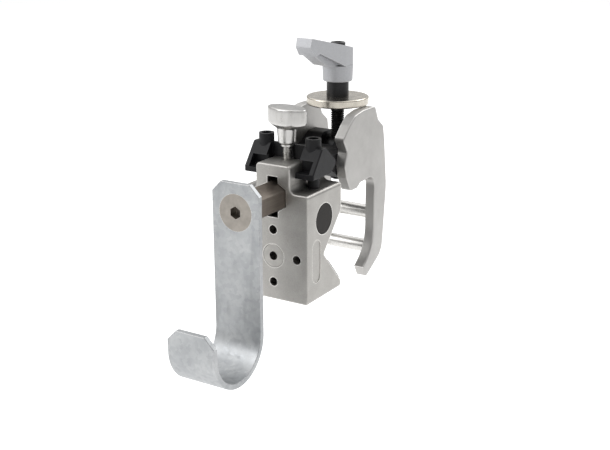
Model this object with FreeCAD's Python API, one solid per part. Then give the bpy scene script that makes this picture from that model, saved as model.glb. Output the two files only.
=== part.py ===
"""Tube clamp with a hex-socket fixed jaw, a swing-bolt hook jaw and a bolt-on cable hook.

Frame: origin on the gripped tube's axis, +X along the tube, +Y away from the fixed jaw, +Z up
towards the lever. Millimetres throughout.
"""
import FreeCAD, Part
import math
import os

V = FreeCAD.Vector

# driving sizes
tube_d = 48.3              # scaffold tube that the jaws close on
v_half_angle = 48.0        # degrees between the V's middle plane and each of its faces
liner_t = 1.2              # rubber liner on each V face
jaw_width = 44.1           # fixed jaw along the tube
jaw_depth = 35.4           # front face to lips
lip_setback = 15.3         # lips to tube axis
jaw_floor = -25.2          # underside of the fixed jaw
shoulder_z = 36.5          # top of the fixed jaw beside its hump
hump_z = 51.3              # top of the hump
hump_width = 21.4
hex_af = 16.0              # spigot across flats
socket_z = 33.5            # height of the spigot's axis
socket_depth = 31.0
hole_pitch = 15.0          # front threaded holes, from the middle one
hole_d = 5.0               # M6 tapping size
hole_depth = 10.0
insert_d = 13.4            # steel insert round the middle hole
plug_d = 17.4              # side plugs
wing_setback = 15.0        # front face to the wing screw's axis
wing_thread = 5.0          # M5
wing_height = 20.0         # grip, from its hub's foot to its top
block_screw_x = 15.0       # the hinge block's two screws
block_setback = 5.8        # front face to the hinge block
block_length = 23.8
block_screw_d = 4.0
plate_t = 6.0              # hook jaw plates
plate_gap = 32.0           # between the plates
pivot_y, pivot_z = -1.0, 42.5        # hook jaw's pivot
pivot_d = 8.0
bolt_y, bolt_z = 18.7, 46.8          # swing bolt's trunnion
trunnion_d = 14.0
screw_d = 8.0              # M8 clamp screw
screw_drop = 19.0          # trunnion axis to the screw's foot
disc_bite = 2.0            # disc over each plate's inner face
disc_t = 4.6
plate_top_z = 72.2         # top edge of the hook jaw plates
hub_d = 17.8               # lever hub
hub_h = 9.2
hub_rise = 8.85            # disc's top to the hub's foot
lever_reach = 37.2         # screw axis to the end face of the lever's arm
lever_rise = 19.1          # hub's top to the arm's tip
lever_tip_width = 9.0
lever_lift = 4.0           # free travel of the handle against its spring
spline_d = 12.0
collar_d = 12.8
cap_d = 8.5                # head of the lever's retaining screw
hook_width = 29.0          # cable hook strip
hook_t = 3.0
hook_reach = 31.8          # strip's back face in front of the fixed jaw
hook_rise = 15.7           # spigot axis to the strip's top
hook_inner_r = 19.1
hook_bend_z = -30.6        # centre of the J bend
hook_lip_z = -18.6

# named clearances
run = 0.05                 # radial, pins and screws that turn in a bore
slide_gap = 0.30           # spigot in its socket, each side
face_gap = 0.30            # faces that pass each other
contact_gap = 0.35         # disc above the plates at rest

# worked out from the above
tube_r = tube_d / 2
lip_y = -lip_setback
front_y = lip_y - jaw_depth
half_w = jaw_width / 2
hump_half = hump_width / 2
v_sin = math.sin(math.radians(v_half_angle))
v_tan = math.tan(math.radians(v_half_angle))
v_root_y = -(tube_r + liner_t) / v_sin
hex_apex = hex_af / math.sqrt(3)
socket_af = hex_af + 2 * slide_gap
socket_apex = socket_af / math.sqrt(3)
plate_in = plate_gap / 2
plate_out = plate_in + plate_t
disc_d = plate_gap + 2 * disc_bite
disc_z = plate_top_z + contact_gap
hook_back_y = front_y - hook_reach
hook_front_y = hook_back_y - hook_t
hook_top_z = socket_z + hook_rise
wing_y = front_y + wing_setback
block_screw_y = wing_y + 2.6
screw_foot_z = bolt_z - screw_drop
disc_top_z = disc_z + disc_t
hub_z = disc_top_z + hub_rise
hub_top_z = hub_z + hub_h
lever_tip_y = bolt_y - lever_reach
lever_tip_z = hub_top_z + lever_rise
lever_back_z = hub_top_z + 8.6
cap_top_z = hub_top_z + 12.8


# shape helpers
def corner_wire(points, place):
    """Closed wire through (a, b, radius) corners; place maps (a, b) to a point in space."""
    count = len(points)
    spans = []
    for i in range(count):
        a, b, r = points[i]
        before, after = points[i - 1], points[(i + 1) % count]
        u = V(before[0] - a, before[1] - b, 0).normalize()
        w = V(after[0] - a, after[1] - b, 0).normalize()
        here = V(a, b, 0)
        if r == 0:
            spans.append((here, None, here))
            continue
        half = u.getAngle(w) / 2
        run_in = r / math.tan(half)
        middle = (u + w).normalize() * (r / math.sin(half) - r)
        spans.append((here + u * run_in, here + middle, here + w * run_in))
    edges = []
    for i in range(count):
        start, middle, end = spans[i]
        if middle:
            edges.append(Part.Arc(place(start), place(middle), place(end)).toShape())
        nxt = spans[(i + 1) % count][0]
        if (nxt - end).Length > 1e-6:
            edges.append(Part.LineSegment(place(end), place(nxt)).toShape())
    return Part.Wire(edges)


def prism_x(points, x0, x1):
    wire = corner_wire(points, lambda p: V(x0, p.x, p.y))
    return Part.Face(wire).extrude(V(x1 - x0, 0, 0))


def prism_y(points, y0, y1):
    wire = corner_wire(points, lambda p: V(p.x, y0, p.y))
    return Part.Face(wire).extrude(V(0, y1 - y0, 0))


def prism_z(points, z0, z1):
    wire = corner_wire(points, lambda p: V(p.x, p.y, z0))
    return Part.Face(wire).extrude(V(0, 0, z1 - z0))


def box(x0, x1, y0, y1, z0, z1):
    return Part.makeBox(x1 - x0, y1 - y0, z1 - z0, V(x0, y0, z0))


def rod_x(d, x0, x1, y, z):
    return Part.makeCylinder(d / 2, x1 - x0, V(x0, y, z), V(1, 0, 0))


def rod_y(d, x, y0, y1, z):
    return Part.makeCylinder(d / 2, y1 - y0, V(x, y0, z), V(0, 1, 0))


def rod_z(d, x, y, z0, z1):
    return Part.makeCylinder(d / 2, z1 - z0, V(x, y, z0), V(0, 0, 1))


def cone_z(d0, d1, x, y, z0, z1):
    return Part.makeCone(d0 / 2, d1 / 2, z1 - z0, V(x, y, z0), V(0, 0, 1))


def hex_points(af, a, b, pointy=True):
    apex = af / math.sqrt(3)
    turn = 90 if pointy else 0
    angles = [math.radians(turn + 60 * i) for i in range(6)]
    return [(a + apex * math.cos(t), b + apex * math.sin(t), 0) for t in angles]


def mirrored(shape):
    return shape.mirror(V(0, 0, 0), V(1, 0, 0))


def both_sides(shape):
    return Part.makeCompound([shape, mirrored(shape)])


def edges_where(shape, test):
    return [e for e in shape.Edges if test(e)]


def save(name, shape):
    clean = shape.removeSplitter() if len(shape.Solids) == 1 else shape
    clean.exportStep("parts/%s.step" % name)
    print(name, "solids", len(clean.Solids), "volume %.1f" % clean.Volume, "valid", clean.isValid())


os.makedirs("parts", exist_ok=True)


# fixed jaw
edge_r = 2.0
root_r = 3.5
rim = 0.8                  # softened rim of the cast front face
notch_half = 3.3           # broach relief in the socket's corners
notch_reach = socket_apex + 1.8      # socket axis to the relief's flat
shoe_l = 8.0
shoe_t = 2.6
wing_lift = 3.0
shoe_foot_z = socket_z + hex_apex - notch_half / math.sqrt(3)
shoe_top_z = shoe_foot_z + shoe_t
insert_l = 8.0
plug_l = 3.0
badge_y, badge_z = front_y + 9.1, -2.2       # blank panel on the right side
badge_w, badge_h, badge_depth = 8.4, 24.4, 0.3
screw_hole_depth = 12.0
plug_y, plug_z = front_y + 17.2, jaw_floor + 45.4
liner_inset = 1.0          # liner ends short of the lip and of the jaw's sides
liner_start = 8.0          # liner's distance from the V's root, along the face


def drilled_y(d, x, z, depth):
    """Blind hole from the front face, with its drill point."""
    hole = rod_y(d, x, front_y - 1, front_y + depth, z)
    point = Part.makeCone(d / 2, 0, d * 0.3, V(x, front_y + depth, z), V(0, 1, 0))
    return hole.fuse(point)


def stadium_x(x0, x1, y, z, w, h):
    r = w / 2
    ends = [rod_x(w, x0, x1, y, z + side * (h / 2 - r)) for side in (-1, 1)]
    return box(x0, x1, y - r, y + r, z - h / 2 + r, z + h / 2 - r).fuse(ends)


def jaw_blank():
    outline = [(-half_w, jaw_floor, edge_r), (half_w, jaw_floor, edge_r), (half_w, shoulder_z, edge_r),
               (hump_half, shoulder_z, root_r), (hump_half, hump_z, edge_r), (-hump_half, hump_z, edge_r),
               (-hump_half, shoulder_z, root_r), (-half_w, shoulder_z, edge_r)]
    return prism_y(outline, front_y, lip_y)


def fixed_jaw():
    body = jaw_blank()
    front = edges_where(body, lambda e: all(abs(v.Point.y - front_y) < 1e-6 for v in e.Vertexes))
    body = body.makeFillet(rim, front)
    past = lip_y + 2
    reach = (past - v_root_y) * v_tan
    cuts = [prism_x([(v_root_y, 0, 1.5), (past, reach, 0), (past, -reach, 0)], -half_w - 1, half_w + 1)]
    cuts.append(prism_y(hex_points(socket_af, 0, socket_z), front_y - 1, front_y + socket_depth))
    cuts.append(box(-notch_half, notch_half, front_y - 1, front_y + socket_depth,
                    socket_z - notch_reach, socket_z + notch_reach))
    pocket_top = shoe_top_z + wing_lift + face_gap
    half_l = shoe_l / 2 + face_gap
    cuts.append(box(-notch_half, notch_half, wing_y - half_l, wing_y + half_l, socket_z, pocket_top))
    cuts.append(rod_z(wing_thread, 0, wing_y, socket_z, hump_z + 1))
    for x, z in ((0, hole_pitch), (0, -hole_pitch), (hole_pitch, 0), (-hole_pitch, 0), (0, 0)):
        cuts.append(drilled_y(hole_d, x, z, hole_depth))
    cuts.append(rod_y(insert_d, 0, front_y - 1, front_y + insert_l, 0))
    for side in (-1, 1):
        cuts.append(rod_z(block_screw_d, side * block_screw_x, block_screw_y,
                          shoulder_z - screw_hole_depth, shoulder_z + 1))
        inner, outer = sorted((side * (half_w - plug_l), side * (half_w + 1)))
        cuts.append(rod_x(plug_d, inner, outer, plug_y, plug_z))
    cuts.append(stadium_x(half_w - badge_depth, half_w + 1, badge_y, badge_z, badge_w, badge_h))
    return body.cut(cuts)


def v_liners():
    """Rubber strips on the V's two faces, held clear of its root and lips."""
    face_l = (lip_y - v_root_y) / math.cos(math.radians(v_half_angle))
    along = V(math.cos(math.radians(v_half_angle)), v_sin, 0)
    inward = V(v_sin, -math.cos(math.radians(v_half_angle)), 0)
    root = V(v_root_y, 0, 0)
    strips = []
    for side in (1, -1):
        ring = []
        for s, t, r in ((liner_start, 0, 0), (face_l - liner_inset, 0, 0),
                        (face_l - liner_inset, liner_t, 0.5), (liner_start, liner_t, 0.5)):
            p = root + along * s + inward * t
            ring.append((p.x, side * p.y, r))
        strips.append(prism_x(ring, -half_w + liner_inset, half_w - liner_inset))
    return Part.makeCompound(strips)


def side_plugs():
    plug = rod_x(plug_d - 2 * run, half_w - plug_l, half_w, plug_y, plug_z)
    outer = edges_where(plug, lambda e: e.BoundBox.XMin > half_w - 1e-3)
    return both_sides(plug.makeChamfer(0.3, outer))


def threaded_insert():
    body = rod_y(insert_d - 2 * run, 0, front_y, front_y + insert_l, 0)
    outer = edges_where(body, lambda e: e.BoundBox.YMax < front_y + 1e-3)
    body = body.makeChamfer(0.3, outer)
    return body.cut(rod_y(hole_d, 0, front_y - 1, front_y + insert_l + 1, 0))


# hinge block
block_front_y = front_y + block_setback
block_back_y = block_front_y + block_length
block_floor_z, ridge_z = hump_z - 7.5, hump_z + 8.0
block_bridge_y = wing_y + 2.0        # front of the part that crosses the hump
boss_d, boss_top_z = 8.5, hump_z + 12.6
post_d = 6.5
block_edge_r = 0.7
head_d, head_h, head_floor_z = 5.4, 3.0, hump_z - 1.3
pocket_w = 8.5
tongue_half = plate_in - face_gap
ear_wall = 2.6
screw_slot = screw_d + 2.4
pin_bite = 4.0             # depth of the pins' blind holes in the plates
tongue_top_z = pivot_z + 7.9
ear_r = trunnion_d / 2 + ear_wall
tongue_low_z = bolt_z - ear_r - 1.4


def hinge_block():
    """Black casting over the hump: carries the hook jaw's pivot and the swing bolt's trunnion."""
    gable = [(block_front_y, block_floor_z, 0), (block_front_y, block_floor_z + 3, 1),
             (wing_y + 0.2, ridge_z, 1.5), (wing_y + 4.1, ridge_z, 1.5), (block_back_y, hump_z - 0.7, 1.5),
             (block_back_y, hump_z - 3.5, 1), (block_back_y - 5.3, block_floor_z, 0)]
    body = prism_x(gable, -half_w, half_w)
    body = body.makeFillet(block_edge_r, edges_where(body, lambda e: e.BoundBox.XLength < 1e-3))
    clear = hump_half + run
    cuts = [box(-clear, clear, block_front_y - 1, block_bridge_y, block_floor_z - 1, ridge_z + 1)]
    for side in (-1, 1):
        x = side * block_screw_x
        cuts.append(box(x - pocket_w / 2, x + pocket_w / 2, block_front_y - 1, block_screw_y - 4.9,
                        block_floor_z + 2.8, block_floor_z + 9.2))
    body = body.cut(cuts)
    root_y = block_back_y - 8.9
    tongue = [(root_y, block_floor_z + 2.2, 0), (pivot_y - 12.0, pivot_z - 1.5, 6),
              (pivot_y - 5.0, tongue_low_z, 4), (pivot_y + 8.0, tongue_low_z, 5),
              (bolt_y - 4.7, bolt_z - ear_r, 5), (bolt_y + ear_r, bolt_z - ear_r, ear_r - 1),
              (bolt_y + ear_r, bolt_z + ear_r, ear_r - 1), (bolt_y - 6.7, bolt_z + ear_r, 6),
              (pivot_y + 3.0, tongue_top_z, 6), (root_y, tongue_top_z, 0)]
    solids = [prism_x(tongue, -tongue_half, tongue_half)]
    for side in (-1, 1):
        x = side * block_screw_x
        solids.append(rod_z(boss_d, x, block_screw_y, block_floor_z, boss_top_z))
        solids.append(rod_z(post_d, x, block_screw_y, shoulder_z, block_floor_z))
    body = body.fuse(solids)
    holes = [jaw_blank(), box(-clear, clear, block_front_y - 1, block_bridge_y, shoulder_z, hump_z)]
    holes.append(rod_z(wing_thread + 3, 0, wing_y, hump_z - 1, ridge_z + 1))
    for side in (-1, 1):
        x = side * block_screw_x
        holes.append(rod_z(block_screw_d + 2 * run, x, block_screw_y, shoulder_z - 1, boss_top_z))
        holes.append(rod_z(head_d + 0.3, x, block_screw_y, head_floor_z, boss_top_z + 1))
    holes.append(rod_x(pivot_d, -tongue_half - 1, tongue_half + 1, pivot_y, pivot_z))
    holes.append(rod_x(trunnion_d + 2 * run, -tongue_half - 1, tongue_half + 1, bolt_y, bolt_z))
    slot_y = pivot_y + pivot_d / 2 + 0.8
    holes.append(box(-screw_slot / 2, screw_slot / 2, slot_y, bolt_y + ear_r + 1,
                     tongue_low_z - 1, bolt_z + ear_r + 1))
    return body.cut(holes)


def block_screws():
    """Two socket screws that hold the hinge block down to the jaw's shoulders."""
    top = head_floor_z + head_h
    foot = shoulder_z - screw_hole_depth + 1.0
    x = block_screw_x
    shank = rod_z(block_screw_d - 2 * run, x, block_screw_y, foot, head_floor_z + 0.5)
    head = rod_z(head_d, x, block_screw_y, head_floor_z, top)
    key = prism_z(hex_points(2.5, x, block_screw_y), top - 1.8, top + 1)
    return both_sides(shank.fuse(head).cut(key))


def jaw_pivot_pin():
    return rod_x(pivot_d - 2 * run, -plate_in - pin_bite, plate_in + pin_bite, pivot_y, pivot_z)


# hook jaw
grip_r = tube_r + 0.6      # inner arc of the hook, just clear of the tube
wrap = 62.0                # degrees that the inner arc runs on below the level
tip_t = 8.5
plate_edge_r = 0.8
spacer_d, spacer_pin_d = 8.0, 5.0
spacer_r, spacer_angles = grip_r + 6.6, (12.0, -27.0)     # from the tube's axis, degrees above the level
spacer_spots = [(spacer_r * math.cos(math.radians(a)), spacer_r * math.sin(math.radians(a)))
                for a in spacer_angles]


def jaw_plate():
    """Hook plate on the +X side: crescent under the disc, arc round the tube's far side."""
    turn = math.radians(wrap)
    corner = (grip_r, -grip_r * math.tan(turn / 2), grip_r)
    inner = (grip_r * math.cos(turn), -grip_r * math.sin(turn), 0)
    outer_r = grip_r + tip_t
    outer = (outer_r * math.cos(turn), -outer_r * math.sin(turn), 2)
    back = grip_r + 15.1
    head = [(bolt_y - 9.0, plate_top_z, 4), (bolt_y - 18.4, plate_top_z - 1.6, 6),
            (pivot_y - 4.4, plate_top_z - 5.8, 7), (pivot_y - 11.6, plate_top_z - 12.7, 2.4),
            (pivot_y - 7.0, pivot_z + 9.7, 2.5), (pivot_y - 9.6, pivot_z + 2.0, 5)]
    neck = [(pivot_y - 7.6, pivot_z - 5.5, 6), (pivot_y - 2.8, pivot_z - 14.1, 3),
            (pivot_y + 4.6, pivot_z - 14.1, 1.5), (pivot_y + 8.5, pivot_z - 11.7, 2),
            (grip_r, pivot_z - 11.1, 6.5)]
    rear = [(grip_r + 10.75, -18.5, 12), (back, 22.0, 30), (back - 3.45, pivot_z + 8.0, 20),
            (back - 5.25, pivot_z + 16.5, 2.5), (back - 11.65, plate_top_z - 8.4, 3),
            (bolt_y + 5.5, plate_top_z, 3)]
    outline = head + neck + [corner, inner, outer] + rear
    plate = prism_x(outline, plate_in, plate_out)
    rims = edges_where(plate, lambda e: e.BoundBox.XMin > plate_out - 1e-3)
    plate = plate.makeFillet(plate_edge_r, rims)
    holes = [rod_x(pivot_d, plate_in - 1, plate_in + pin_bite + 0.3, pivot_y, pivot_z)]
    for y, z in spacer_spots:
        holes.append(rod_x(spacer_pin_d, plate_in - 1, plate_in + pin_bite, y, z))
    return plate.cut(holes)


def jaw_spacers():
    """Shouldered pins that hold the two hook plates apart."""
    bars = []
    for y, z in spacer_spots:
        pin = rod_x(spacer_pin_d - 2 * run, -plate_in - pin_bite, plate_in + pin_bite, y, z)
        bars.append(pin.fuse(rod_x(spacer_d, -plate_in, plate_in, y, z)))
    return Part.makeCompound(bars)


# swing bolt
disc_edge_r = 0.8
ring_d, ring_t = screw_d + 3.0, 1.0
groove_depth = 0.8
spline_teeth = 24
tooth_depth = 0.6
spline_gap = 0.15
insert_top_z = hub_z + lever_lift - 0.4     # the teeth part before the handle is fully up
cap_screw_d = 4.5
cap_head_h = 4.6
spring_wire_d = 0.8
spring_turns = 5
lever_tip_h = 10.0         # tip block, top to underside
web_half = 3.8             # stiffening web under the arm
ledge_t = 1.4              # web inside the lever between the spline and the spring


def spline_points(outer_d):
    ring = []
    for i in range(spline_teeth):
        for step, r in ((0, outer_d / 2), (0.5, outer_d / 2 - tooth_depth)):
            t = 2 * math.pi * (i + step) / spline_teeth
            ring.append((r * math.cos(t), bolt_y + r * math.sin(t), 0))
    return ring


def trunnion():
    """Barrel nut that lies across the hinge block's ears; the clamp screw threads through it."""
    barrel = rod_x(trunnion_d, -tongue_half, tongue_half, bolt_y, bolt_z)
    return barrel.cut(rod_z(screw_d, 0, bolt_y, bolt_z - trunnion_d, bolt_z + trunnion_d))


def clamp_screw():
    body = rod_z(screw_d - 2 * run, 0, bolt_y, screw_foot_z, disc_top_z + 2.0)
    low = disc_z - ring_t - run
    groove = rod_z(screw_d, 0, bolt_y, low - run, low + ring_t).cut(
        rod_z(screw_d - 2 * groove_depth, 0, bolt_y, low - run, low + ring_t))
    foot = edges_where(body, lambda e: e.BoundBox.ZMax < screw_foot_z + 1e-3)
    return body.makeChamfer(0.8, foot).cut(groove)


def retaining_ring():
    """Open spring ring in the screw's groove, which keeps the disc on the screw."""
    low = disc_z - ring_t - run
    inner = screw_d - 2 * groove_depth
    ring = rod_z(ring_d, 0, bolt_y, low, low + ring_t - run).cut(
        rod_z(inner, 0, bolt_y, low - 1, low + ring_t + 1))
    return ring.cut(box(-inner * 0.3, inner * 0.3, bolt_y, bolt_y + ring_d, low - 1, low + ring_t + 1))


def pressure_disc():
    disc = rod_z(disc_d, 0, bolt_y, disc_z, disc_z + disc_t)
    disc = disc.makeFillet(disc_edge_r, edges_where(disc, lambda e: e.BoundBox.ZLength < 1e-3))
    return disc.cut(rod_z(screw_d + 2 * run, 0, bolt_y, disc_z - 1, disc_z + disc_t + 1))


def lever_insert():
    """Steel core of the lever: thrust collar below, toothed hub inside the handle."""
    low = disc_top_z + run
    collar = rod_z(collar_d, 0, bolt_y, low, hub_z - 0.2)
    teeth = prism_z(spline_points(spline_d), hub_z - 0.2, insert_top_z)
    body = collar.fuse(teeth)
    socket = rod_z(screw_d - 2 * run, 0, bolt_y, low - 1, disc_top_z + 2.0)
    tapped = rod_z(cap_screw_d, 0, bolt_y, low, insert_top_z + 1)
    return body.cut([socket, tapped])


def lever_cap_screw():
    under = cap_top_z - cap_head_h
    shank = rod_z(cap_screw_d - 2 * run, 0, bolt_y, hub_z - 5.0, under + 0.5)
    head = rod_z(cap_d, 0, bolt_y, under, cap_top_z)
    head = head.makeChamfer(0.4, edges_where(head, lambda e: e.BoundBox.ZMin > cap_top_z - 1e-3))
    key = prism_z(hex_points(4.0, 0, bolt_y), cap_top_z - 2.5, cap_top_z + 1)
    return shank.fuse(head).cut(key)


def lever_spring():
    """Compression spring, as coils, between the handle's web and the cap screw's head."""
    low = insert_top_z + face_gap + ledge_t + face_gap
    high = cap_top_z - cap_head_h - face_gap
    mean_r = cap_screw_d / 2 + face_gap + spring_wire_d / 2
    pitch = (high - low - spring_wire_d) / spring_turns
    helix = Part.makeHelix(pitch, pitch * spring_turns, mean_r)
    section = Part.Wire(Part.makeCircle(spring_wire_d / 2, V(mean_r, 0, 0), V(0, 1, 0)))
    coil = Part.Wire(helix).makePipeShell([section], True, True)
    coil.translate(V(0, bolt_y, low + spring_wire_d / 2))
    return coil


def lever_handle():
    """Indexing lever: hub over the toothed core, arm rising towards the fixed jaw."""
    hub_r = hub_d / 2
    back_y = bolt_y + hub_r
    under_z = lever_tip_z - lever_tip_h
    brow_y = lever_tip_y + 8.5     # where the arm's underside leaves the tip block
    side = [(lever_tip_y - 0.8, lever_tip_z - 4.9, 0.8), (lever_tip_y + 0.8, lever_tip_z, 0.8),
            (back_y, lever_back_z, 2.0), (back_y, hub_top_z - 0.6, 0), (bolt_y - 3.5, hub_top_z - 0.6, 0),
            (brow_y, under_z + 0.9, 1.5), (lever_tip_y + 3.4, under_z, 1.5)]
    arm = prism_x(side, -hub_r, hub_r)
    tip_half = lever_tip_width / 2
    flank = hub_r - 0.5
    plan = [(-tip_half, lever_tip_y - 1.5, 1.2), (tip_half, lever_tip_y - 1.5, 1.2),
            (flank, bolt_y - 5.0, 6.0), (flank, back_y, flank - 0.3),
            (-flank, back_y, flank - 0.3), (-flank, bolt_y - 5.0, 6.0)]
    arm = arm.common(prism_z(plan, hub_top_z - 2, lever_tip_z + 2))
    web = prism_x([(brow_y - 4.0, under_z + 0.4, 1), (brow_y + 8.0, hub_top_z + 2.4, 4),
                   (bolt_y - 7.5, hub_top_z - 0.6, 0), (bolt_y, hub_top_z - 0.6, 0),
                   (bolt_y - 4, hub_top_z + 5.8, 0), (brow_y, under_z + 3, 0)], -web_half, web_half)
    body = cone_z(hub_d - 0.9, hub_d, 0, bolt_y, hub_z, hub_top_z)
    foot = edges_where(body, lambda e: e.BoundBox.ZMax < hub_z + 1e-3)
    body = body.makeFillet(0.6, foot).fuse([arm, web])
    web_z = insert_top_z + face_gap
    cuts = [prism_z(spline_points(spline_d + 2 * spline_gap), hub_z - 1, web_z)]
    cuts.append(rod_z(cap_screw_d + 2 * face_gap, 0, bolt_y, hub_z, lever_tip_z))
    cuts.append(rod_z(cap_d + 2 * spline_gap, 0, bolt_y, web_z + ledge_t, lever_tip_z))
    return body.cut(cuts)


# wing screw
wing_hub_d, wing_hub_low_d = 11.2, 9.6
wing_hub_z = ridge_z + 0.5
wing_head_z = wing_hub_z + wing_height
wing_wide_z = wing_head_z - 9.3      # underside of the grip's full width
wing_long, wing_thick = 13.6, 7.2    # half length and half thickness of the grip
wing_turn_deg = -12.0
wing_collar_d = 6.8


def wing_outline(half_long, half_thick):
    """Pointed oval of the grip in plan, turned about the screw's axis."""
    turn = math.radians(wing_turn_deg)
    ring = []
    mid = half_long * 0.45
    for a, b, r in ((half_long, 0, 3), (mid, half_thick, 6), (-mid, half_thick, 6),
                    (-half_long, 0, 3), (-mid, -half_thick, 6), (mid, -half_thick, 6)):
        ring.append((a * math.cos(turn) - b * math.sin(turn),
                     wing_y + a * math.sin(turn) + b * math.cos(turn), r))
    return ring


def wing_head():
    """Polished grip, lofted from its hub out to a pointed oval."""
    grip = prism_z(wing_outline(wing_long, wing_thick), wing_wide_z, wing_head_z)
    low = corner_wire(wing_outline(wing_long * 0.56, wing_thick * 0.80),
                      lambda p: V(p.x, p.y, wing_wide_z - 3.2))
    high = corner_wire(wing_outline(wing_long, wing_thick), lambda p: V(p.x, p.y, wing_wide_z))
    flare = Part.makeLoft([low, high], True, True)
    hub = cone_z(wing_hub_low_d, wing_hub_d, 0, wing_y, wing_hub_z, wing_wide_z)
    top = edges_where(grip, lambda e: e.BoundBox.ZMin > wing_head_z - 1e-3)
    grip = grip.makeFillet(1.0, top)
    body = grip.fuse([flare, hub])
    return body.cut(rod_z(wing_thread - 2 * run, 0, wing_y, wing_hub_z - 1, wing_wide_z))


def wing_stem():
    """Threaded stem, fixed in the grip, with a small collar under it."""
    stem = rod_z(wing_thread - 2 * run, 0, wing_y, shoe_top_z + run, wing_wide_z)
    return stem.fuse(rod_z(wing_collar_d, 0, wing_y, wing_hub_z - 1.4, wing_hub_z))


def locking_shoe():
    """Pad in the socket's roof that the wing screw presses on the spigot's two upper flats."""
    wide = notch_half - 0.1
    drop = wide / math.sqrt(3)
    apex = socket_z + hex_apex + 0.02
    outline = [(-wide, apex - drop, 0), (0, apex, 0), (wide, apex - drop, 0),
               (wide, shoe_top_z, 0.5), (-wide, shoe_top_z, 0.5)]
    return prism_y(outline, wing_y - shoe_l / 2, wing_y + shoe_l / 2)


# spigot and cable hook
spigot_end_y = front_y + socket_depth - 1.0
hook_screw_d, hook_screw_head = 10.0, 20.0
hook_screw_l = 24.0
hook_key = 6.0
spigot_rim = 0.8
strip_chamfer = 5.5
strip_edge_r = 0.4


def hex_spigot():
    """16 mm hexagon with a tapped end for the cable hook."""
    bar = prism_y([(a, b, 0.5) for a, b, r in hex_points(hex_af, 0, socket_z)], hook_back_y, spigot_end_y)
    length = spigot_end_y - hook_back_y
    point_r = hex_apex - spigot_rim
    point = Part.makeCone(point_r, point_r + length, length, V(0, spigot_end_y, socket_z), V(0, -1, 0))
    bar = bar.common(point)
    bore = rod_y(hook_screw_d - 1.5, 0, hook_back_y - 1, hook_back_y + hook_screw_l + 2, socket_z)
    return bar.cut(bore)


def cable_hook():
    """Flat strip with clipped corners, bent to a J below."""
    mid_r = hook_inner_r + hook_t
    centre_y = hook_front_y - hook_inner_r
    outer = [(hook_back_y, hook_top_z, 0), (hook_back_y, hook_bend_z - mid_r, mid_r),
             (centre_y - mid_r, hook_bend_z - mid_r, mid_r), (centre_y - mid_r, hook_lip_z, 0),
             (centre_y - hook_inner_r, hook_lip_z, 0),
             (centre_y - hook_inner_r, hook_bend_z - hook_inner_r, hook_inner_r),
             (hook_front_y, hook_bend_z - hook_inner_r, hook_inner_r), (hook_front_y, hook_top_z, 0)]
    half = hook_width / 2
    strip = prism_x(outer, -half, half)
    c = strip_chamfer
    cuts = []
    for side in (-1, 1):
        for z, y in ((hook_top_z, hook_front_y), (hook_lip_z, centre_y - mid_r)):
            clip = [(side * (half + 1), z - c - 1, 0), (side * (half + 1), z + 1, 0),
                    (side * (half - c - 1), z + 1, 0)]
            cuts.append(prism_y(clip, y - 1, y + hook_t + 1))
    strip = strip.cut(cuts)
    flank = edges_where(strip, lambda e: max(abs(v.Point.x) for v in e.Vertexes) > half - c - 1e-3
                        and e.BoundBox.YLength + e.BoundBox.ZLength > 1e-3
                        and not (e.Length < hook_t + 1e-3 and e.BoundBox.ZLength < 1e-3)
                        and abs(e.Length - hook_t) > 1e-3)
    strip = strip.makeFillet(strip_edge_r, flank)
    cuts = [rod_y(hook_screw_d + 0.4, 0, hook_front_y - 1, hook_back_y + 1, socket_z)]
    sink_r = hook_screw_head / 2 + run
    sink = Part.makeCone(sink_r, hook_screw_d / 2, sink_r - hook_screw_d / 2,
                         V(0, hook_front_y, socket_z), V(0, 1, 0))
    cuts.append(sink)
    return strip.cut(cuts)


def countersunk_screw():
    drop = hook_t - 0.3
    head_r = hook_screw_head / 2
    head = Part.makeCone(head_r, head_r - drop, drop, V(0, hook_front_y, socket_z), V(0, 1, 0))
    shank = rod_y(hook_screw_d - 1.5 - 2 * run, 0, hook_front_y + 0.5, hook_back_y + hook_screw_l, socket_z)
    key = prism_y(hex_points(hook_key, 0, socket_z), hook_front_y - 1, hook_front_y + 5.0)
    return head.fuse(shank).cut(key)


plate = jaw_plate()
parts = {
    "fixed_jaw": fixed_jaw(), "v_liners": v_liners(), "side_plugs": side_plugs(),
    "threaded_insert": threaded_insert(), "hinge_block": hinge_block(), "block_screws": block_screws(),
    "jaw_pivot_pin": jaw_pivot_pin(), "jaw_plate_right": plate, "jaw_plate_left": mirrored(plate),
    "jaw_spacers": jaw_spacers(), "trunnion": trunnion(), "clamp_screw": clamp_screw(),
    "retaining_ring": retaining_ring(), "pressure_disc": pressure_disc(), "lever_insert": lever_insert(),
    "lever_cap_screw": lever_cap_screw(), "lever_spring": lever_spring(), "lever_handle": lever_handle(),
    "wing_head": wing_head(), "wing_stem": wing_stem(), "locking_shoe": locking_shoe(),
    "hex_spigot": hex_spigot(), "cable_hook": cable_hook(), "countersunk_screw": countersunk_screw(),
}
for name, shape in parts.items():
    save(name, shape)
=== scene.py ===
import bpy
import bmesh
import math
from mathutils import Matrix, Vector


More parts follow.
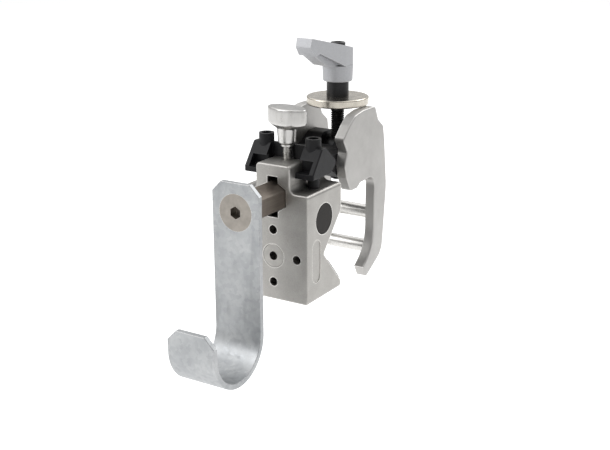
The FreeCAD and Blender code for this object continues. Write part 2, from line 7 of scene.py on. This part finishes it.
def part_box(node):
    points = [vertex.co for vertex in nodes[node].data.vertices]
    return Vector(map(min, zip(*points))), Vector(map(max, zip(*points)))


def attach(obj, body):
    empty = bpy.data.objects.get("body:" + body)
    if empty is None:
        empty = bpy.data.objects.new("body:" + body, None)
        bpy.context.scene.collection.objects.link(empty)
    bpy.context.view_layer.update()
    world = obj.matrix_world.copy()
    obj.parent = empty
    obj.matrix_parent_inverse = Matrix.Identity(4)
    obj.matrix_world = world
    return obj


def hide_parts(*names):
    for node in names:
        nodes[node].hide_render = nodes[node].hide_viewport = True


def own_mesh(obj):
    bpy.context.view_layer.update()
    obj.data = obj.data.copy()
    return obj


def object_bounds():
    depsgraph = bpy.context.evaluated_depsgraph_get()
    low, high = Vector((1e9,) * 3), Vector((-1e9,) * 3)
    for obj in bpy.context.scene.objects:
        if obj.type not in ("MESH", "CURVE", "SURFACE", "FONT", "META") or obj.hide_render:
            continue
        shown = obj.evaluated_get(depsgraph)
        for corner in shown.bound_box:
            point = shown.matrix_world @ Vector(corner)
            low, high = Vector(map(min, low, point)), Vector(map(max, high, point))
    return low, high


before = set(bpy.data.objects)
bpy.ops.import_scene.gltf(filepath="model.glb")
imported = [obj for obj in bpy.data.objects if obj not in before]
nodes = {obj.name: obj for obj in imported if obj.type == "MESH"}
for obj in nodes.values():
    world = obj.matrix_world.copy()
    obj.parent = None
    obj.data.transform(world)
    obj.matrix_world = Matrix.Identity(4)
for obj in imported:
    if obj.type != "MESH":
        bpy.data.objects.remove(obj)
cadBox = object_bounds()
mm = 0.001


cameraSettings = {
    "place": (0.30497, -0.51373, 0.19333),   # metres from the tube's axis
    "azimuth": 31.58,
    "elevation": 17.60,
    "roll": -0.16,
    "lens": 63.38,
    "sensor": 36.0,
    "farthest": 20.0,
}


def makeCamera(s):
    data = bpy.data.cameras.new("camera")
    data.lens = s["lens"]
    data.sensor_width = s["sensor"]
    data.clip_end = s["farthest"]
    camera = bpy.data.objects.new("camera", data)
    bpy.context.scene.collection.objects.link(camera)
    turn = Matrix.Rotation(math.radians(s["azimuth"]), 4, "Z")
    tilt = Matrix.Rotation(math.radians(90 - s["elevation"]), 4, "X")
    lean = Matrix.Rotation(math.radians(s["roll"]), 4, "Z")
    camera.matrix_world = Matrix.Translation(s["place"]) @ turn @ tilt @ lean
    bpy.context.scene.camera = camera
    print("camera placed")


makeCamera(cameraSettings)

studioSettings = {
    "floorDrop": 0.16,           # floor below the object's lowest point
    "floorSize": 6.0,
    "floorColor": (0.93, 0.93, 0.93, 1),
    "floorRoughness": 0.9,
    "worldColor": (1.0, 1.0, 1.0, 1),
    "worldStrength": 0.6,
    "floorGlow": 0.3,            # keeps the far floor as white as the near
    "lampsAimAt": (0, 0, 0.03),
    "lamps": [
        # name, place, size across and up, watts
        ("overheadPanel", (-0.5, 0.9, 2.4), (4.0, 4.0), 55.0),
        ("keyPanel", (-0.85, -0.75, 0.75), (0.7, 0.7), 8.0),
        ("rimPanel", (0.35, 0.95, 0.9), (0.8, 0.5), 6.0),
    ],
}


def makeStudio(s):
    low = cadBox[0][2] - s["floorDrop"]
    mesh = bpy.data.meshes.new("floor")
    bm = bmesh.new()
    bmesh.ops.create_grid(bm, x_segments=1, y_segments=1, size=s["floorSize"])
    bmesh.ops.translate(bm, verts=bm.verts, vec=(0, 0, low))
    bm.to_mesh(mesh)
    bm.free()
    floor = bpy.data.objects.new("floor", mesh)
    bpy.context.scene.collection.objects.link(floor)
    paint = bpy.data.materials.new("floorPaint")
    paint.use_nodes = True
    shader = paint.node_tree.nodes["Principled BSDF"]
    shader.inputs["Base Color"].default_value = s["floorColor"]
    shader.inputs["Roughness"].default_value = s["floorRoughness"]
    shader.inputs["Emission Color"].default_value = s["floorColor"]
    shader.inputs["Emission Strength"].default_value = s["floorGlow"]
    mesh.materials.append(paint)
    world = bpy.data.worlds.new("studio")
    world.use_nodes = True
    background = world.node_tree.nodes["Background"]
    background.inputs["Color"].default_value = s["worldColor"]
    background.inputs["Strength"].default_value = s["worldStrength"]
    bpy.context.scene.world = world
    bpy.context.scene.view_settings.view_transform = "Standard"
    for name, place, size, watts in s["lamps"]:
        data = bpy.data.lights.new(name, "AREA")
        data.shape = "RECTANGLE"
        data.size, data.size_y = size
        data.energy = watts
        lamp = bpy.data.objects.new(name, data)
        bpy.context.scene.collection.objects.link(lamp)
        aim = Vector(s["lampsAimAt"]) - Vector(place)
        turn = aim.to_track_quat("-Z", "Y").to_matrix().to_4x4()
        lamp.matrix_world = Matrix.Translation(place) @ turn
    print("studio lit")


makeStudio(studioSettings)


class Wire:
    # one output socket of a node tree; arithmetic on it adds Math nodes
    def __init__(self, tree, socket=None):
        self.tree = tree
        self.socket = socket

    def node(self, kind, settings=None, inputs=None, out=0):
        made = self.tree.nodes.new(kind)
        for key, value in (settings or {}).items():
            if key == "stops":
                ramp = made.color_ramp
                while len(ramp.elements) < len(value):
                    ramp.elements.new(1.0)
                for element, (place, color) in zip(ramp.elements, value):
                    element.position = place
                    element.color = color if len(color) == 4 else (*color, 1)
            else:
                setattr(made, key, value)
        for key, value in (inputs or {}).items():
            if isinstance(value, Wire):
                self.tree.links.new(value.socket, made.inputs[key])
            else:
                made.inputs[key].default_value = value
        return Wire(self.tree, made.outputs[out])

    def math(self, operation, first, second=None):
        inputs = {0: first} if second is None else {0: first, 1: second}
        return self.node("ShaderNodeMath", {"operation": operation}, inputs)

    def __add__(self, other):
        return self.math("ADD", self, other)

    def __radd__(self, other):
        return self.math("ADD", other, self)

    def __sub__(self, other):
        return self.math("SUBTRACT", self, other)

    def __rsub__(self, other):
        return self.math("SUBTRACT", other, self)

    def __mul__(self, other):
        return self.math("MULTIPLY", self, other)

    def __rmul__(self, other):
        return self.math("MULTIPLY", other, self)


socketNames = {
    "color": "Base Color",
    "metallic": "Metallic",
    "roughness": "Roughness",
    "normal": "Normal",
    "specular": "Specular IOR Level",
}


def newFinish(name, **fixed):
    # a material with a Principled shader; fixed holds sockets that are the same all over
    material = bpy.data.materials.new(name)
    material.use_nodes = True
    tree = material.node_tree
    shader = tree.nodes["Principled BSDF"]
    for key, value in fixed.items():
        shader.inputs[socketNames[key]].default_value = value
    return material, Wire(tree), shader


def drive(wire, shader, **links):
    for key, value in links.items():
        wire.tree.links.new(value.socket, shader.inputs[socketNames[key]])


def place(wire, scale=(1, 1, 1), turn=(0, 0, 0)):
    # the piece's own Object coordinates in millimetres, stretched and turned
    coords = wire.node("ShaderNodeTexCoord", out="Object")
    size = tuple(v / mm for v in scale)
    return wire.node("ShaderNodeMapping", inputs={"Vector": coords, "Scale": size, "Rotation": turn})


def noise(wire, vector, scale, detail=3.0, rough=0.5, out=0):
    return wire.node("ShaderNodeTexNoise", inputs={
        "Vector": vector, "Scale": scale, "Detail": detail, "Roughness": rough}, out=out)


def ramp(wire, value, *stops):
    return wire.node("ShaderNodeValToRGB", {"stops": stops}, {"Fac": value})


def spread(wire, value, low, high, toLow=0.0, toHigh=1.0):
    # value from low..high onto toLow..toHigh, held at the ends
    return wire.node("ShaderNodeMapRange", {"clamp": True}, {
        "Value": value, "From Min": low, "From Max": high, "To Min": toLow, "To Max": toHigh})


def mixColor(wire, factor, first, second):
    mixed = wire.node("ShaderNodeMix", {"data_type": "RGBA"}, {"Factor": factor}, out="Result")
    # the colour sockets of a Mix node share their names with its number sockets
    made = mixed.socket.node
    for index, value in ((6, first), (7, second)):
        if isinstance(value, Wire):
            wire.tree.links.new(value.socket, made.inputs[index])
        else:
            made.inputs[index].default_value = (*value, 1)
    return Wire(wire.tree, made.outputs[2])


def bump(wire, height, strength, distance):
    return wire.node("ShaderNodeBump", inputs={"Height": height, "Strength": strength, "Distance": distance})


edgeWearAndHighlight = {
    "samples": 6,
    "from": 0.01,                # how far the two normals part where edge wear and the painted edge highlight start
    "full": 0.16,
}


def wornAndHighlitEdges(wire, radius):
    # bright where a rounded normal leaves the true one, so along edges: edge wear plus a painted edge
    # highlight
    soft = wire.node("ShaderNodeBevel", {"samples": edgeWearAndHighlight["samples"]}, {"Radius": radius}, out="Normal")
    true = wire.node("ShaderNodeNewGeometry", out="True Normal")
    agree = wire.node("ShaderNodeVectorMath", {"operation": "DOT_PRODUCT"}, {0: soft, 1: true}, out="Value")
    return spread(wire, 1 - agree, edgeWearAndHighlight["from"], edgeWearAndHighlight["full"])


def castAluminium():
    # blasted casting: fine grain, faint cloudiness, edges rubbed bright, with a painted edge highlight on
    # top
    material, wire, shader = newFinish("castAluminium", metallic=1.0)
    here = place(wire)
    grain = noise(wire, here, 1.9, 4.0, 0.7)
    cloud = noise(wire, here, 0.09, 3.0)
    pores = spread(wire, noise(wire, here, 3.4, 2.0), 0.62, 0.74)
    wearAndHighlight = wornAndHighlitEdges(wire, 0.0012)
    tone = ramp(wire, grain * 0.6 + cloud * 0.4, (0.3, (0.30, 0.29, 0.275)), (0.72, (0.46, 0.45, 0.43)))
    spotted = mixColor(wire, pores * 0.5, tone, (0.20, 0.19, 0.18))
    # edges mixed towards bright grey: part rubbed wear, part painted highlight
    bright = mixColor(wire, wearAndHighlight, spotted, (0.74, 0.73, 0.70))
    rough = 0.36 + grain * 0.22 - wearAndHighlight * 0.14
    drive(wire, shader, color=bright, roughness=rough, normal=bump(wire, grain - pores * 0.4, 0.35, 0.00012))
    return material


def plateAluminium():
    # tumbled plate: soft mottling, short scratches, rounded rims painted bright, part wear and part painted
    # highlight
    material, wire, shader = newFinish("plateAluminium", metallic=1.0)
    here = place(wire)
    cloud = noise(wire, here, 0.07, 4.0, 0.6)
    grain = noise(wire, here, 2.6, 3.0, 0.65)
    scratch = spread(wire, noise(wire, place(wire, (1.0, 0.25, 5.0), (0.5, 0.0, 0.0)), 0.8, 2.0), 0.60, 0.70)
    wearAndHighlight = wornAndHighlitEdges(wire, 0.0010)
    tone = ramp(wire, cloud * 0.7 + grain * 0.3, (0.3, (0.37, 0.362, 0.35)), (0.7, (0.46, 0.452, 0.44)))
    # rims mixed towards near white: part wear, part painted highlight
    bright = mixColor(wire, wearAndHighlight * 0.8, tone, (0.78, 0.77, 0.75))
    rough = 0.42 + grain * 0.12 - wearAndHighlight * 0.14 - scratch * 0.05
    height = grain * 0.5 - scratch * 0.3
    drive(wire, shader, color=bright, roughness=rough, normal=bump(wire, height, 0.18, 0.00010))
    return material


def turnedMetal(name, tone, roughness, ringStep, centre, axis, depth=0.00002):
    # lathe-turned face: fine rings round an axis through centre
    material, wire, shader = newFinish(name, metallic=1.0)
    coords = place(wire)
    away = wire.node("ShaderNodeVectorMath", {"operation": "SUBTRACT"},
                     {0: coords, 1: tuple(v / mm for v in centre)})
    flat = wire.node("ShaderNodeVectorMath", {"operation": "MULTIPLY"},
                     {0: away, 1: tuple(0.0 if i == axis else 1.0 for i in range(3))})
    radius = wire.node("ShaderNodeVectorMath", {"operation": "LENGTH"}, {0: flat}, out="Value")
    ripple = wire.math("SINE", radius * (2 * math.pi / ringStep))
    cloud = noise(wire, coords, 0.25, 3.0)
    pits = noise(wire, coords, 3.0, 2.0)
    wearAndHighlight = wornAndHighlitEdges(wire, 0.0006)
    dark = tuple(v * 0.82 for v in tone)
    color = mixColor(wire, spread(wire, cloud, 0.35, 0.65), dark, tone)
    # edges lightened: part wear, part painted highlight
    color = mixColor(wire, wearAndHighlight * 0.6, color, tuple(min(1.0, v * 1.25) for v in tone))
    rough = roughness + cloud * 0.08 + pits * 0.05
    drive(wire, shader, color=color, roughness=rough, normal=bump(wire, ripple + pits * 0.5, 0.25, depth))
    return material


def plainSteel():
    material, wire, shader = newFinish("plainSteel", metallic=1.0)
    here = place(wire)
    grain = noise(wire, here, 1.4, 3.0)
    tone = ramp(wire, grain, (0.3, (0.5, 0.49, 0.47)), (0.7, (0.66, 0.65, 0.63)))
    drive(wire, shader, color=tone, roughness=0.26 + grain * 0.2, normal=bump(wire, grain, 0.15, 0.00005))
    return material


def spigotSteel():
    # drawn bar: streaks along its length under a brown-grey finish
    material, wire, shader = newFinish("spigotSteel", metallic=1.0)
    streak = noise(wire, place(wire, (1.0, 0.03, 1.0)), 1.6, 3.0, 0.6)
    cloud = noise(wire, place(wire), 0.12, 2.0)
    wearAndHighlight = wornAndHighlitEdges(wire, 0.0007)
    tone = ramp(wire, streak * 0.5 + cloud * 0.5, (0.3, (0.125, 0.105, 0.09)), (0.7, (0.19, 0.165, 0.14)))
    # edges lightened: part wear, part painted highlight
    color = mixColor(wire, wearAndHighlight * 0.7, tone, (0.42, 0.39, 0.35))
    drive(wire, shader, color=color, roughness=0.30 + streak * 0.16, normal=bump(wire, streak, 0.2, 0.00006))
    return material


def zincPlate():
    # galvanised strip: crystal mottling, faint stains, sheared rough edges painted near white, part wear and
    # part painted highlight
    material, wire, shader = newFinish("zincPlate", metallic=0.92)
    here = place(wire)
    wander = noise(wire, here, 0.35, 2.0, out="Color")
    shift = wire.node("ShaderNodeVectorMath", {"operation": "SCALE"}, {0: wander, "Scale": 3.0})
    bent = wire.node("ShaderNodeVectorMath", {"operation": "ADD"}, {0: here, 1: shift})
    crystals = wire.node("ShaderNodeTexVoronoi", {"feature": "F1"},
                         {"Vector": bent, "Scale": 0.42}, out="Color")
    facet = wire.node("ShaderNodeSeparateColor", inputs={"Color": crystals}, out="Red")
    cloud = noise(wire, here, 0.055, 4.0, 0.62)
    grain = noise(wire, here, 2.4, 3.0, 0.6)
    stain = spread(wire, noise(wire, place(wire, (0.6, 1.0, 0.16)), 0.3, 3.0), 0.56, 0.70)
    wearAndHighlight = wornAndHighlitEdges(wire, 0.0006)
    tone = ramp(wire, cloud * 0.62 + facet * 0.2 + grain * 0.18,
                (0.30, (0.29, 0.30, 0.31)), (0.50, (0.37, 0.38, 0.388)), (0.72, (0.47, 0.478, 0.482)))
    color = mixColor(wire, stain * 0.28, tone, (0.26, 0.267, 0.274))
    # edges mixed towards near white: part wear, part painted highlight
    color = mixColor(wire, wearAndHighlight * spread(wire, grain, 0.35, 0.6, 0.3, 1.0), color, (0.9, 0.9, 0.89))
    rough = 0.36 + facet * 0.10 + grain * 0.14 + stain * 0.08 - wearAndHighlight * 0.1
    height = grain * 0.5 + facet * 0.25
    drive(wire, shader, color=color, roughness=rough, normal=bump(wire, height, 0.22, 0.00010))
    return material


def blackCasting():
    # black moulding with a faint pebble and edges painted slightly grey, part wear and part painted
    # highlight
    material, wire, shader = newFinish("blackCasting", specular=0.22)
    here = place(wire)
    pebble = noise(wire, here, 1.6, 3.0, 0.6)
    cloud = noise(wire, here, 0.15, 2.0)
    wearAndHighlight = wornAndHighlitEdges(wire, 0.0008)
    tone = ramp(wire, cloud, (0.3, (0.004, 0.004, 0.005)), (0.7, (0.009, 0.009, 0.010)))
    color = mixColor(wire, wearAndHighlight * 0.35, tone, (0.05, 0.05, 0.053))
    drive(wire, shader, color=color, roughness=0.40 + pebble * 0.16, normal=bump(wire, pebble, 0.3, 0.00008))
    return material


def blackOxide():
    material, wire, shader = newFinish("blackOxide", metallic=0.55)
    here = place(wire)
    grain = noise(wire, here, 1.8, 3.0)
    wearAndHighlight = wornAndHighlitEdges(wire, 0.0005)
    tone = ramp(wire, grain, (0.3, (0.010, 0.010, 0.011)), (0.7, (0.022, 0.022, 0.023)))
    # edges lightened: part wear, part painted highlight
    color = mixColor(wire, wearAndHighlight * 0.3, tone, (0.12, 0.115, 0.11))
    drive(wire, shader, color=color, roughness=0.32 + grain * 0.16, normal=bump(wire, grain, 0.15, 0.00005))
    return material


def blackRubber():
    material, wire, shader = newFinish("blackRubber")
    here = place(wire)
    grain = noise(wire, here, 1.2, 3.0)
    tone = ramp(wire, grain, (0.3, (0.012, 0.012, 0.012)), (0.7, (0.03, 0.03, 0.03)))
    drive(wire, shader, color=tone, roughness=0.72 + grain * 0.16, normal=bump(wire, grain, 0.4, 0.00012))
    return material


def silverCoat():
    # silver powder coat with a fine orange peel
    material, wire, shader = newFinish("silverCoat", metallic=0.55)
    here = place(wire)
    peel = noise(wire, here, 1.1, 2.0, 0.5)
    flake = noise(wire, here, 5.0, 2.0, 0.7)
    wearAndHighlight = wornAndHighlitEdges(wire, 0.0007)
    tone = ramp(wire, flake * 0.7 + peel * 0.3, (0.35, (0.36, 0.364, 0.378)), (0.65, (0.44, 0.445, 0.46)))
    # edges lightened: part wear, part painted highlight
    color = mixColor(wire, wearAndHighlight * 0.35, tone, (0.72, 0.72, 0.73))
    drive(wire, shader, color=color, roughness=0.46 + flake * 0.12, normal=bump(wire, peel, 0.22, 0.00012))
    return material


def polishedAluminium():
    material, wire, shader = newFinish("polishedAluminium", metallic=1.0)
    here = place(wire)
    smear = noise(wire, place(wire, (1.0, 1.0, 0.3)), 0.35, 3.0, 0.6)
    swirl = noise(wire, here, 2.2, 2.0)
    tone = ramp(wire, smear, (0.3, (0.44, 0.435, 0.42)), (0.7, (0.54, 0.532, 0.52)))
    drive(wire, shader, color=tone, roughness=0.21 + smear * 0.18, normal=bump(wire, swirl, 0.10, 0.00005))
    return material


def brassPad():
    material, wire, shader = newFinish("brassPad", metallic=1.0)
    grain = noise(wire, place(wire), 1.5, 3.0)
    tone = ramp(wire, grain, (0.3, (0.60, 0.44, 0.20)), (0.7, (0.76, 0.58, 0.30)))
    drive(wire, shader, color=tone, roughness=0.3 + grain * 0.2)
    return material


def middle(node):
    low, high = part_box(node)
    return tuple((a + b) / 2 for a, b in zip(low, high))


screwAxis = middle("pressure_disc")
spigotAxis = middle("countersunk_screw")
plugAxis = middle("side_plugs")
jawMiddle = middle("threaded_insert")
blackSteel = blackOxide()
steel = plainSteel()
tumbled = plateAluminium()
finishes = {
    "fixed_jaw": castAluminium(),
    "v_liners": blackRubber(),
    "side_plugs": turnedMetal("darkPlug", (0.020, 0.018, 0.016), 0.42, 0.5, plugAxis, 0),
    "threaded_insert": turnedMetal("insertSteel", (0.40, 0.39, 0.37), 0.34, 0.4, jawMiddle, 1),
    "hinge_block": blackCasting(),
    "block_screws": blackSteel,
    "jaw_pivot_pin": steel,
    "jaw_plate_right": tumbled,
    "jaw_plate_left": tumbled,
    "jaw_spacers": steel,
    "trunnion": blackSteel,
    "clamp_screw": blackSteel,
    "retaining_ring": blackSteel,
    "pressure_disc": turnedMetal("nickelDisc", (0.60, 0.56, 0.49), 0.18, 0.55, screwAxis, 2),
    "lever_insert": blackSteel,
    "lever_cap_screw": blackSteel,
    "lever_spring": steel,
    "lever_handle": silverCoat(),
    "wing_head": polishedAluminium(),
    "wing_stem": steel,
    "locking_shoe": brassPad(),
    "hex_spigot": spigotSteel(),
    "cable_hook": zincPlate(),
    "countersunk_screw": turnedMetal("nickelScrew", (0.30, 0.278, 0.25), 0.30, 0.45, spigotAxis, 1),
}


def paintNodes():
    for name, material in finishes.items():
        mesh = nodes[name].data
        mesh.materials.clear()
        mesh.materials.append(material)
    print("finishes on", len(finishes), "pieces")


paintNodes()


def newPiece(name, bm, finish):
    bmesh.ops.recalc_face_normals(bm, faces=bm.faces)
    mesh = bpy.data.meshes.new(name)
    bm.to_mesh(mesh)
    bm.free()
    mesh.materials.append(finish)
    piece = bpy.data.objects.new(name, mesh)
    bpy.context.scene.collection.objects.link(piece)
    return piece


def joined(*parts):
    # one bmesh out of several, each a closed shell of its own
    whole = bmesh.new()
    for part in parts:
        bmesh.ops.recalc_face_normals(part, faces=part.faces)
        spare = bpy.data.meshes.new("spare")
        part.to_mesh(spare)
        part.free()
        whole.from_mesh(spare)
        bpy.data.meshes.remove(spare)
    return whole


def shadeByAngle(piece, degrees):
    # smooth faces with creases kept sharp
    limit = math.radians(degrees)
    bm = bmesh.new()
    bm.from_mesh(piece.data)
    for face in bm.faces:
        face.smooth = True
    for edge in bm.edges:
        edge.smooth = len(edge.link_faces) == 2 and edge.calc_face_angle() < limit
    bm.to_mesh(piece.data)
    bm.free()


def lathe(bm, centre, rings, steps):
    # turned solid from (radius, height) pairs, closed where both ends lie on the axis
    points = [bm.verts.new((centre[0] + r, centre[1], z)) for r, z in rings]
    line = [bm.edges.new(pair) for pair in zip(points, points[1:])]
    bmesh.ops.spin(bm, geom=points + line, cent=(centre[0], centre[1], 0), axis=(0, 0, 1),
                   dvec=(0, 0, 0), angle=2 * math.pi, steps=steps, use_merge=True, use_duplicate=False)
    bmesh.ops.remove_doubles(bm, verts=bm.verts, dist=1e-7)


threadProfile = [
    # share of the depth, share of the pitch
    (0, 0.0),
    (1, 0.36),
    (1, 0.50),
    (0, 0.86),
    (0, 1.0),
]


def thread(bm, centre, low, high, s):
    # one pitch of the profile swept up a helix, trimmed flat at both ends
    pitch = s["pitch"]
    root = s["outer"] - s["depth"]
    spare = 2                     # turns past each end, trimmed off
    turns = int((high - low) / pitch) + 2 * spare
    start = low - spare * pitch
    points = [bm.verts.new((centre[0] + root + deep * s["depth"], centre[1], start + along * pitch))
              for deep, along in threadProfile]
    line = [bm.edges.new(pair) for pair in zip(points, points[1:])]
    steps = s["steps"] * turns
    bmesh.ops.spin(bm, geom=points + line, cent=(centre[0], centre[1], 0), axis=(0, 0, 1),
                   dvec=(0, 0, pitch / s["steps"]), angle=2 * math.pi * turns, steps=steps,
                   use_merge=False, use_duplicate=False)
    bmesh.ops.remove_doubles(bm, verts=bm.verts, dist=pitch * 1e-3)
    for height, keep in ((low, 1), (high, -1)):
        bmesh.ops.bisect_plane(bm, geom=bm.verts[:] + bm.edges[:] + bm.faces[:], dist=1e-8,
                               plane_co=(0, 0, height), plane_no=(0, 0, keep), clear_inner=True)
        rim = [e for e in bm.edges if e.is_boundary and all(abs(v.co.z - height) < 1e-7 for v in e.verts)]
        bmesh.ops.contextual_create(bm, geom=rim)


clampThread = {
    "pitch": 1.25 * mm,
    "outer": 3.95 * mm,
    "depth": 0.72 * mm,
    "steps": 36,
    "plainFrom": 4.6 * mm,        # plain shank under the disc's lower face
    "grooveDeep": 0.8 * mm,
    "grooveTall": 1.15 * mm,
    "point": 0.7 * mm,
    "tuck": 0.02 * mm,            # how far the nose and shank start inside the thread's root
    "shankFoot": 0.6 * mm,        # length of shank inside the thread
    "neck": 0.1 * mm,
    "runOut": 0.7 * mm,
    "around": 48,
    "crease": 32,
}


def makeClampScrew(s):
    low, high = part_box("clamp_screw")
    centre = middle("clamp_screw")
    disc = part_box("pressure_disc")[0][2]
    foot = low[2]
    top = disc - s["plainFrom"]
    groove = disc - s["grooveTall"]
    outer = s["outer"]
    root = outer - s["depth"]
    core = root - s["tuck"]
    inner = outer - s["grooveDeep"]
    bm = bmesh.new()
    thread(bm, centre, foot + s["point"], top, s)
    nose = bmesh.new()
    lathe(nose, centre, [(0, foot), (root - s["point"], foot), (core, foot + s["point"]),
                         (core, foot + 3 * s["point"]), (0, foot + 3 * s["point"])], s["around"])
    shank = bmesh.new()
    lathe(shank, centre, [(0, top - s["shankFoot"]), (core, top - s["shankFoot"]), (core, top + s["neck"]),
                          (outer, top + s["runOut"]), (outer, groove), (inner, groove),
                          (inner, disc), (outer, disc), (outer, high[2]), (0, high[2])], s["around"])
    piece = newPiece("clampThread", joined(bm, nose, shank), blackSteel)
    shadeByAngle(piece, s["crease"])
    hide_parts("clamp_screw")
    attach(piece, "screw")
    print("clamp screw threaded", len(piece.data.polygons))


makeClampScrew(clampThread)

wingThread = {
    "pitch": 0.8 * mm,
    "outer": 2.45 * mm,
    "depth": 0.46 * mm,
    "steps": 30,
    "collar": 3.4 * mm,
    "collarTall": 1.4 * mm,
    "collarEdge": 0.25 * mm,
    "overlap": 0.2 * mm,          # length of thread inside the collar
    "around": 48,
    "crease": 32,
}


def makeWingStem(s):
    low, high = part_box("wing_stem")
    centre = middle("wing_stem")
    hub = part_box("wing_head")[0][2]
    bm = bmesh.new()
    thread(bm, centre, low[2], hub - s["collarTall"] + s["overlap"], s)
    collar = bmesh.new()
    foot, edge, wide = hub - s["collarTall"], s["collarEdge"], s["collar"]
    root = s["outer"] - s["depth"]
    lathe(collar, centre, [(0, foot), (wide - edge, foot), (wide, foot + edge), (wide, hub - edge),
                           (wide - edge, hub), (root, hub), (root, high[2]), (0, high[2])], s["around"])
    piece = newPiece("wingThread", joined(bm, collar), steel)
    shadeByAngle(piece, s["crease"])
    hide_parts("wing_stem")
    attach(piece, "wing")
    print("wing stem threaded", len(piece.data.polygons))


makeWingStem(wingThread)

wingGrip = {
    "turn": -12.0,
    "around": 48,
    "stations": [
        # height over the hub's foot, half length, half thickness, squareness of the outline
        (0.0, 3.9, 3.9, 2.0),
        (0.15, 4.3, 4.3, 2.0),
        (0.9, 4.95, 4.95, 2.0),
        (1.2, 5.0, 5.0, 2.0),
        (8.4, 5.5, 5.45, 2.0),
        (8.8, 5.8, 5.6, 2.0),
        (9.3, 7.0, 5.9, 2.0),
        (10.7, 11.6, 7.0, 1.95),
        (11.2, 12.7, 7.35, 1.92),
        (11.9, 13.0, 7.45, 1.9),
        (19.1, 13.0, 7.45, 1.9),
        (19.6, 12.85, 7.3, 1.9),
        (19.95, 12.3, 6.8, 1.9),
        (20.0, 11.3, 5.9, 1.9),
    ],
    "dish": 0.1,
    "levels": 2,
}


def onlyVerts(geometry):
    return [v for v in geometry if isinstance(v, bmesh.types.BMVert)]


def makeWingGrip(s):
    # a column of round rings, one for each station, and then each ring takes its station's outline
    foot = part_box("wing_head")[0][2]
    centre = middle("wing_head")
    turn = math.radians(s["turn"])
    last = len(s["stations"]) - 1
    bm = bmesh.new()
    bmesh.ops.create_circle(bm, cap_ends=True, cap_tris=True, segments=s["around"], radius=1.0)
    for level in range(last):
        ring = bmesh.ops.extrude_edge_only(bm, edges=[e for e in bm.edges if e.is_boundary])
        bmesh.ops.translate(bm, verts=onlyVerts(ring["geom"]), vec=(0, 0, 1))
    lid = bmesh.ops.extrude_edge_only(bm, edges=[e for e in bm.edges if e.is_boundary])
    bmesh.ops.pointmerge(bm, verts=onlyVerts(lid["geom"]), merge_co=(0, 0, last))
    for vert in bm.verts:
        c, n = vert.co.x, vert.co.y
        rise, long, thick, square = s["stations"][round(vert.co.z)]
        if round(vert.co.z) == last and c == n == 0:
            rise -= s["dish"]
        a = long * mm * math.copysign(abs(c) ** (2 / square), c)
        b = thick * mm * math.copysign(abs(n) ** (2 / square), n)
        vert.co = (centre[0] + a * math.cos(turn) - b * math.sin(turn),
                   centre[1] + a * math.sin(turn) + b * math.cos(turn), foot + rise * mm)
    piece = newPiece("wingGrip", bm, finishes["wing_head"])
    for face in piece.data.polygons:
        face.use_smooth = True
    smooth = piece.modifiers.new("smooth", "SUBSURF")
    smooth.levels = smooth.render_levels = s["levels"]
    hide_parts("wing_head")
    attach(piece, "wing")
    print("wing grip shaped")


makeWingGrip(wingGrip)

springCoil = {
    "wire": 0.4 * mm,
    "turns": 5,
    "around": 10,
    "steps": 36,
    "crease": 50,
    "keep": 0.62,                 # share of its length left with the lever lifted
}


def makeSpring(s):
    low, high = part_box("lever_spring")
    centre = middle("lever_cap_screw")
    reach = (high[0] - low[0]) / 2 - s["wire"]
    rise = high[2] - low[2] - 2 * s["wire"]
    bm = bmesh.new()
    start = Matrix.Translation((centre[0] + reach, centre[1], low[2] + s["wire"]))
    bmesh.ops.create_circle(bm, cap_ends=False, segments=s["around"], radius=s["wire"],
                            matrix=start @ Matrix.Rotation(math.pi / 2, 4, "X"))
    steps = s["steps"] * s["turns"]
    bmesh.ops.spin(bm, geom=bm.verts[:] + bm.edges[:], cent=(centre[0], centre[1], 0), axis=(0, 0, 1),
                   dvec=(0, 0, rise / steps), angle=2 * math.pi * s["turns"], steps=steps,
                   use_merge=False, use_duplicate=False)
    bmesh.ops.holes_fill(bm, edges=[e for e in bm.edges if e.is_boundary], sides=s["around"])
    piece = newPiece("springCoil", bm, steel)
    shadeByAngle(piece, s["crease"])
    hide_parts("lever_spring")
    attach(piece, "screw")
    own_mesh(piece)
    print("spring wound")


makeSpring(springCoil)

leverEdge = {
    "width": 0.7 * mm,
    "segments": 3,
    "sharperThan": 35,            # degrees at an edge that gets rounded
}


def softenLever(s):
    edge = nodes["lever_handle"].modifiers.new("softEdge", "BEVEL")
    edge.width = s["width"]
    edge.segments = s["segments"]
    edge.limit_method = "ANGLE"
    edge.angle_limit = math.radians(s["sharperThan"])
    edge.use_clamp_overlap = True
    edge.harden_normals = True
    print("lever's edges softened")


softenLever(leverEdge)
